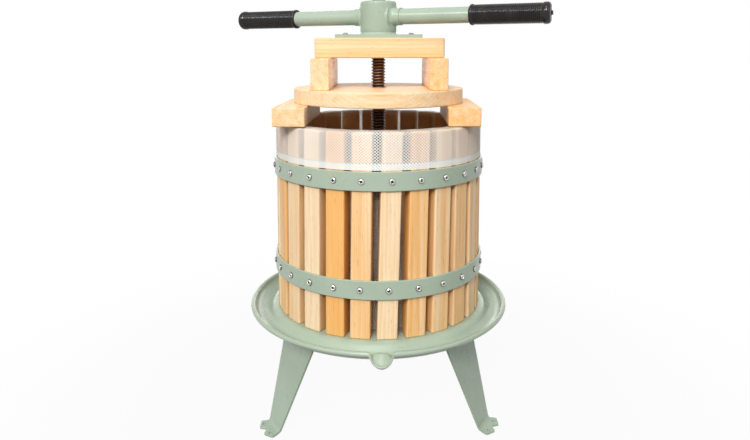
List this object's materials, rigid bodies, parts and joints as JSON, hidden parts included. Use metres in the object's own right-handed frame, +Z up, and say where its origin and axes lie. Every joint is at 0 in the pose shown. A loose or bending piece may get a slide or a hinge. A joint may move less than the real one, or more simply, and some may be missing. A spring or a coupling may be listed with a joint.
{
  "type": "basket fruit press",
  "caption": "Hand-operated basket press: slatted wooden basket with a mesh bag on a legged tray with a spout, threaded spindle, wooden disc, blocks, crossbeam and a nut with long handles.",
  "frame": {"origin": "on the floor, on the spindle's axis", "axes": "+Z up along the spindle, the spout points to -Y, +X to the right seen from the spout"},
  "size_m": [0.438, 0.3825, 0.5915],
  "materials": {
    "green_paint": "semi-gloss sage green paint",
    "stave_wood": "planed beech, lightly oiled",
    "block_wood": "planed beech",
    "zinc": "bright zinc plate",
    "spindle_steel": "dark rolled thread, lightly oiled",
    "white_mesh": "open woven nylon mesh",
    "black_rubber": "ribbed, satin"
  },
  "bodies": {
    "stand": {"tray": "green_paint", "leg_rear": "green_paint", "leg_front_left": "green_paint", "leg_front_right": "green_paint", "leg_bolts": "zinc", "leg_nuts": "zinc", "spindle": "spindle_steel", "spindle_upper_nut": "zinc", "spindle_lower_nut": "zinc", "spindle_washer": "zinc"},
    "basket": {"stave_01": "stave_wood", "stave_02": "stave_wood", "stave_03": "stave_wood", "stave_04": "stave_wood", "stave_05": "stave_wood", "stave_06": "stave_wood", "stave_07": "stave_wood", "stave_08": "stave_wood", "stave_09": "stave_wood", "stave_10": "stave_wood", "stave_11": "stave_wood", "stave_12": "stave_wood", "stave_13": "stave_wood", "stave_14": "stave_wood", "stave_15": "stave_wood", "stave_16": "stave_wood", "stave_17": "stave_wood", "stave_18": "stave_wood", "stave_19": "stave_wood", "stave_20": "stave_wood", "stave_21": "stave_wood", "stave_22": "stave_wood", "stave_23": "stave_wood", "stave_24": "stave_wood", "stave_25": "stave_wood", "stave_26": "stave_wood", "lower_hoop": "green_paint", "upper_hoop": "green_paint", "lower_hoop_screws": "zinc", "upper_hoop_screws": "zinc"},
    "bag": {"filter_bag": "white_mesh"},
    "left_lower_block": {"lower_block_left": "block_wood"},
    "right_lower_block": {"lower_block_right": "block_wood"},
    "disc": {"press_disc": "block_wood"},
    "left_upper_block": {"upper_block_left": "block_wood"},
    "right_upper_block": {"upper_block_right": "block_wood"},
    "beam": {"crossbeam": "block_wood", "thrust_plate": "green_paint", "plate_bolts": "zinc"},
    "collar": {"thrust_collar": "green_paint"},
    "handle": {"handle_hub": "green_paint", "right_arm": "green_paint", "right_grip": "black_rubber", "left_arm": "green_paint", "left_grip": "black_rubber"}
  },
  "joints": [
    {"name": "basket_lift", "type": "slide", "parent": "stand", "child": "basket", "axis": [0, 0, 1], "range_m": [0, 0.45]},
    {"name": "bag_lift", "type": "slide", "parent": "basket", "child": "bag", "axis": [0, 0, 1], "range_m": [0, 0.27]},
    {"name": "left_lower_block_lift", "type": "slide", "parent": "bag", "child": "left_lower_block", "axis": [0, 0, 1], "range_m": [0, 0.06]},
    {"name": "right_lower_block_lift", "type": "slide", "parent": "bag", "child": "right_lower_block", "axis": [0, 0, 1], "range_m": [0, 0.06]},
    {"name": "disc_lift", "type": "slide", "parent": "left_lower_block", "child": "disc", "axis": [0, 0, 1], "range_m": [0, 0.155]},
    {"name": "left_upper_block_lift", "type": "slide", "parent": "disc", "child": "left_upper_block", "axis": [0, 0, 1], "range_m": [0, 0.06]},
    {"name": "right_upper_block_lift", "type": "slide", "parent": "disc", "child": "right_upper_block", "axis": [0, 0, 1], "range_m": [0, 0.06]},
    {"name": "beam_lift", "type": "slide", "parent": "left_upper_block", "child": "beam", "axis": [0, 0, 1], "range_m": [0, 0.095]},
    {"name": "nut_travel", "type": "slide", "parent": "beam", "child": "collar", "axis": [0, 0, 1], "range_m": [0, 0.0535]},
    {"name": "handle_turn", "type": "hinge", "parent": "collar", "child": "handle", "pos_m": [0, 0, 0.5605], "axis": [0, 0, 1], "range_deg": [0, 4536]}
  ],
  "couplings": [
    {"joint": "right_lower_block_lift", "follows": "left_lower_block_lift", "ratio": 1},
    {"joint": "right_upper_block_lift", "follows": "left_upper_block_lift", "ratio": 1},
    {"joint": "nut_travel", "follows": "handle_turn", "m_per_rad": 0.00066845}
  ]
}
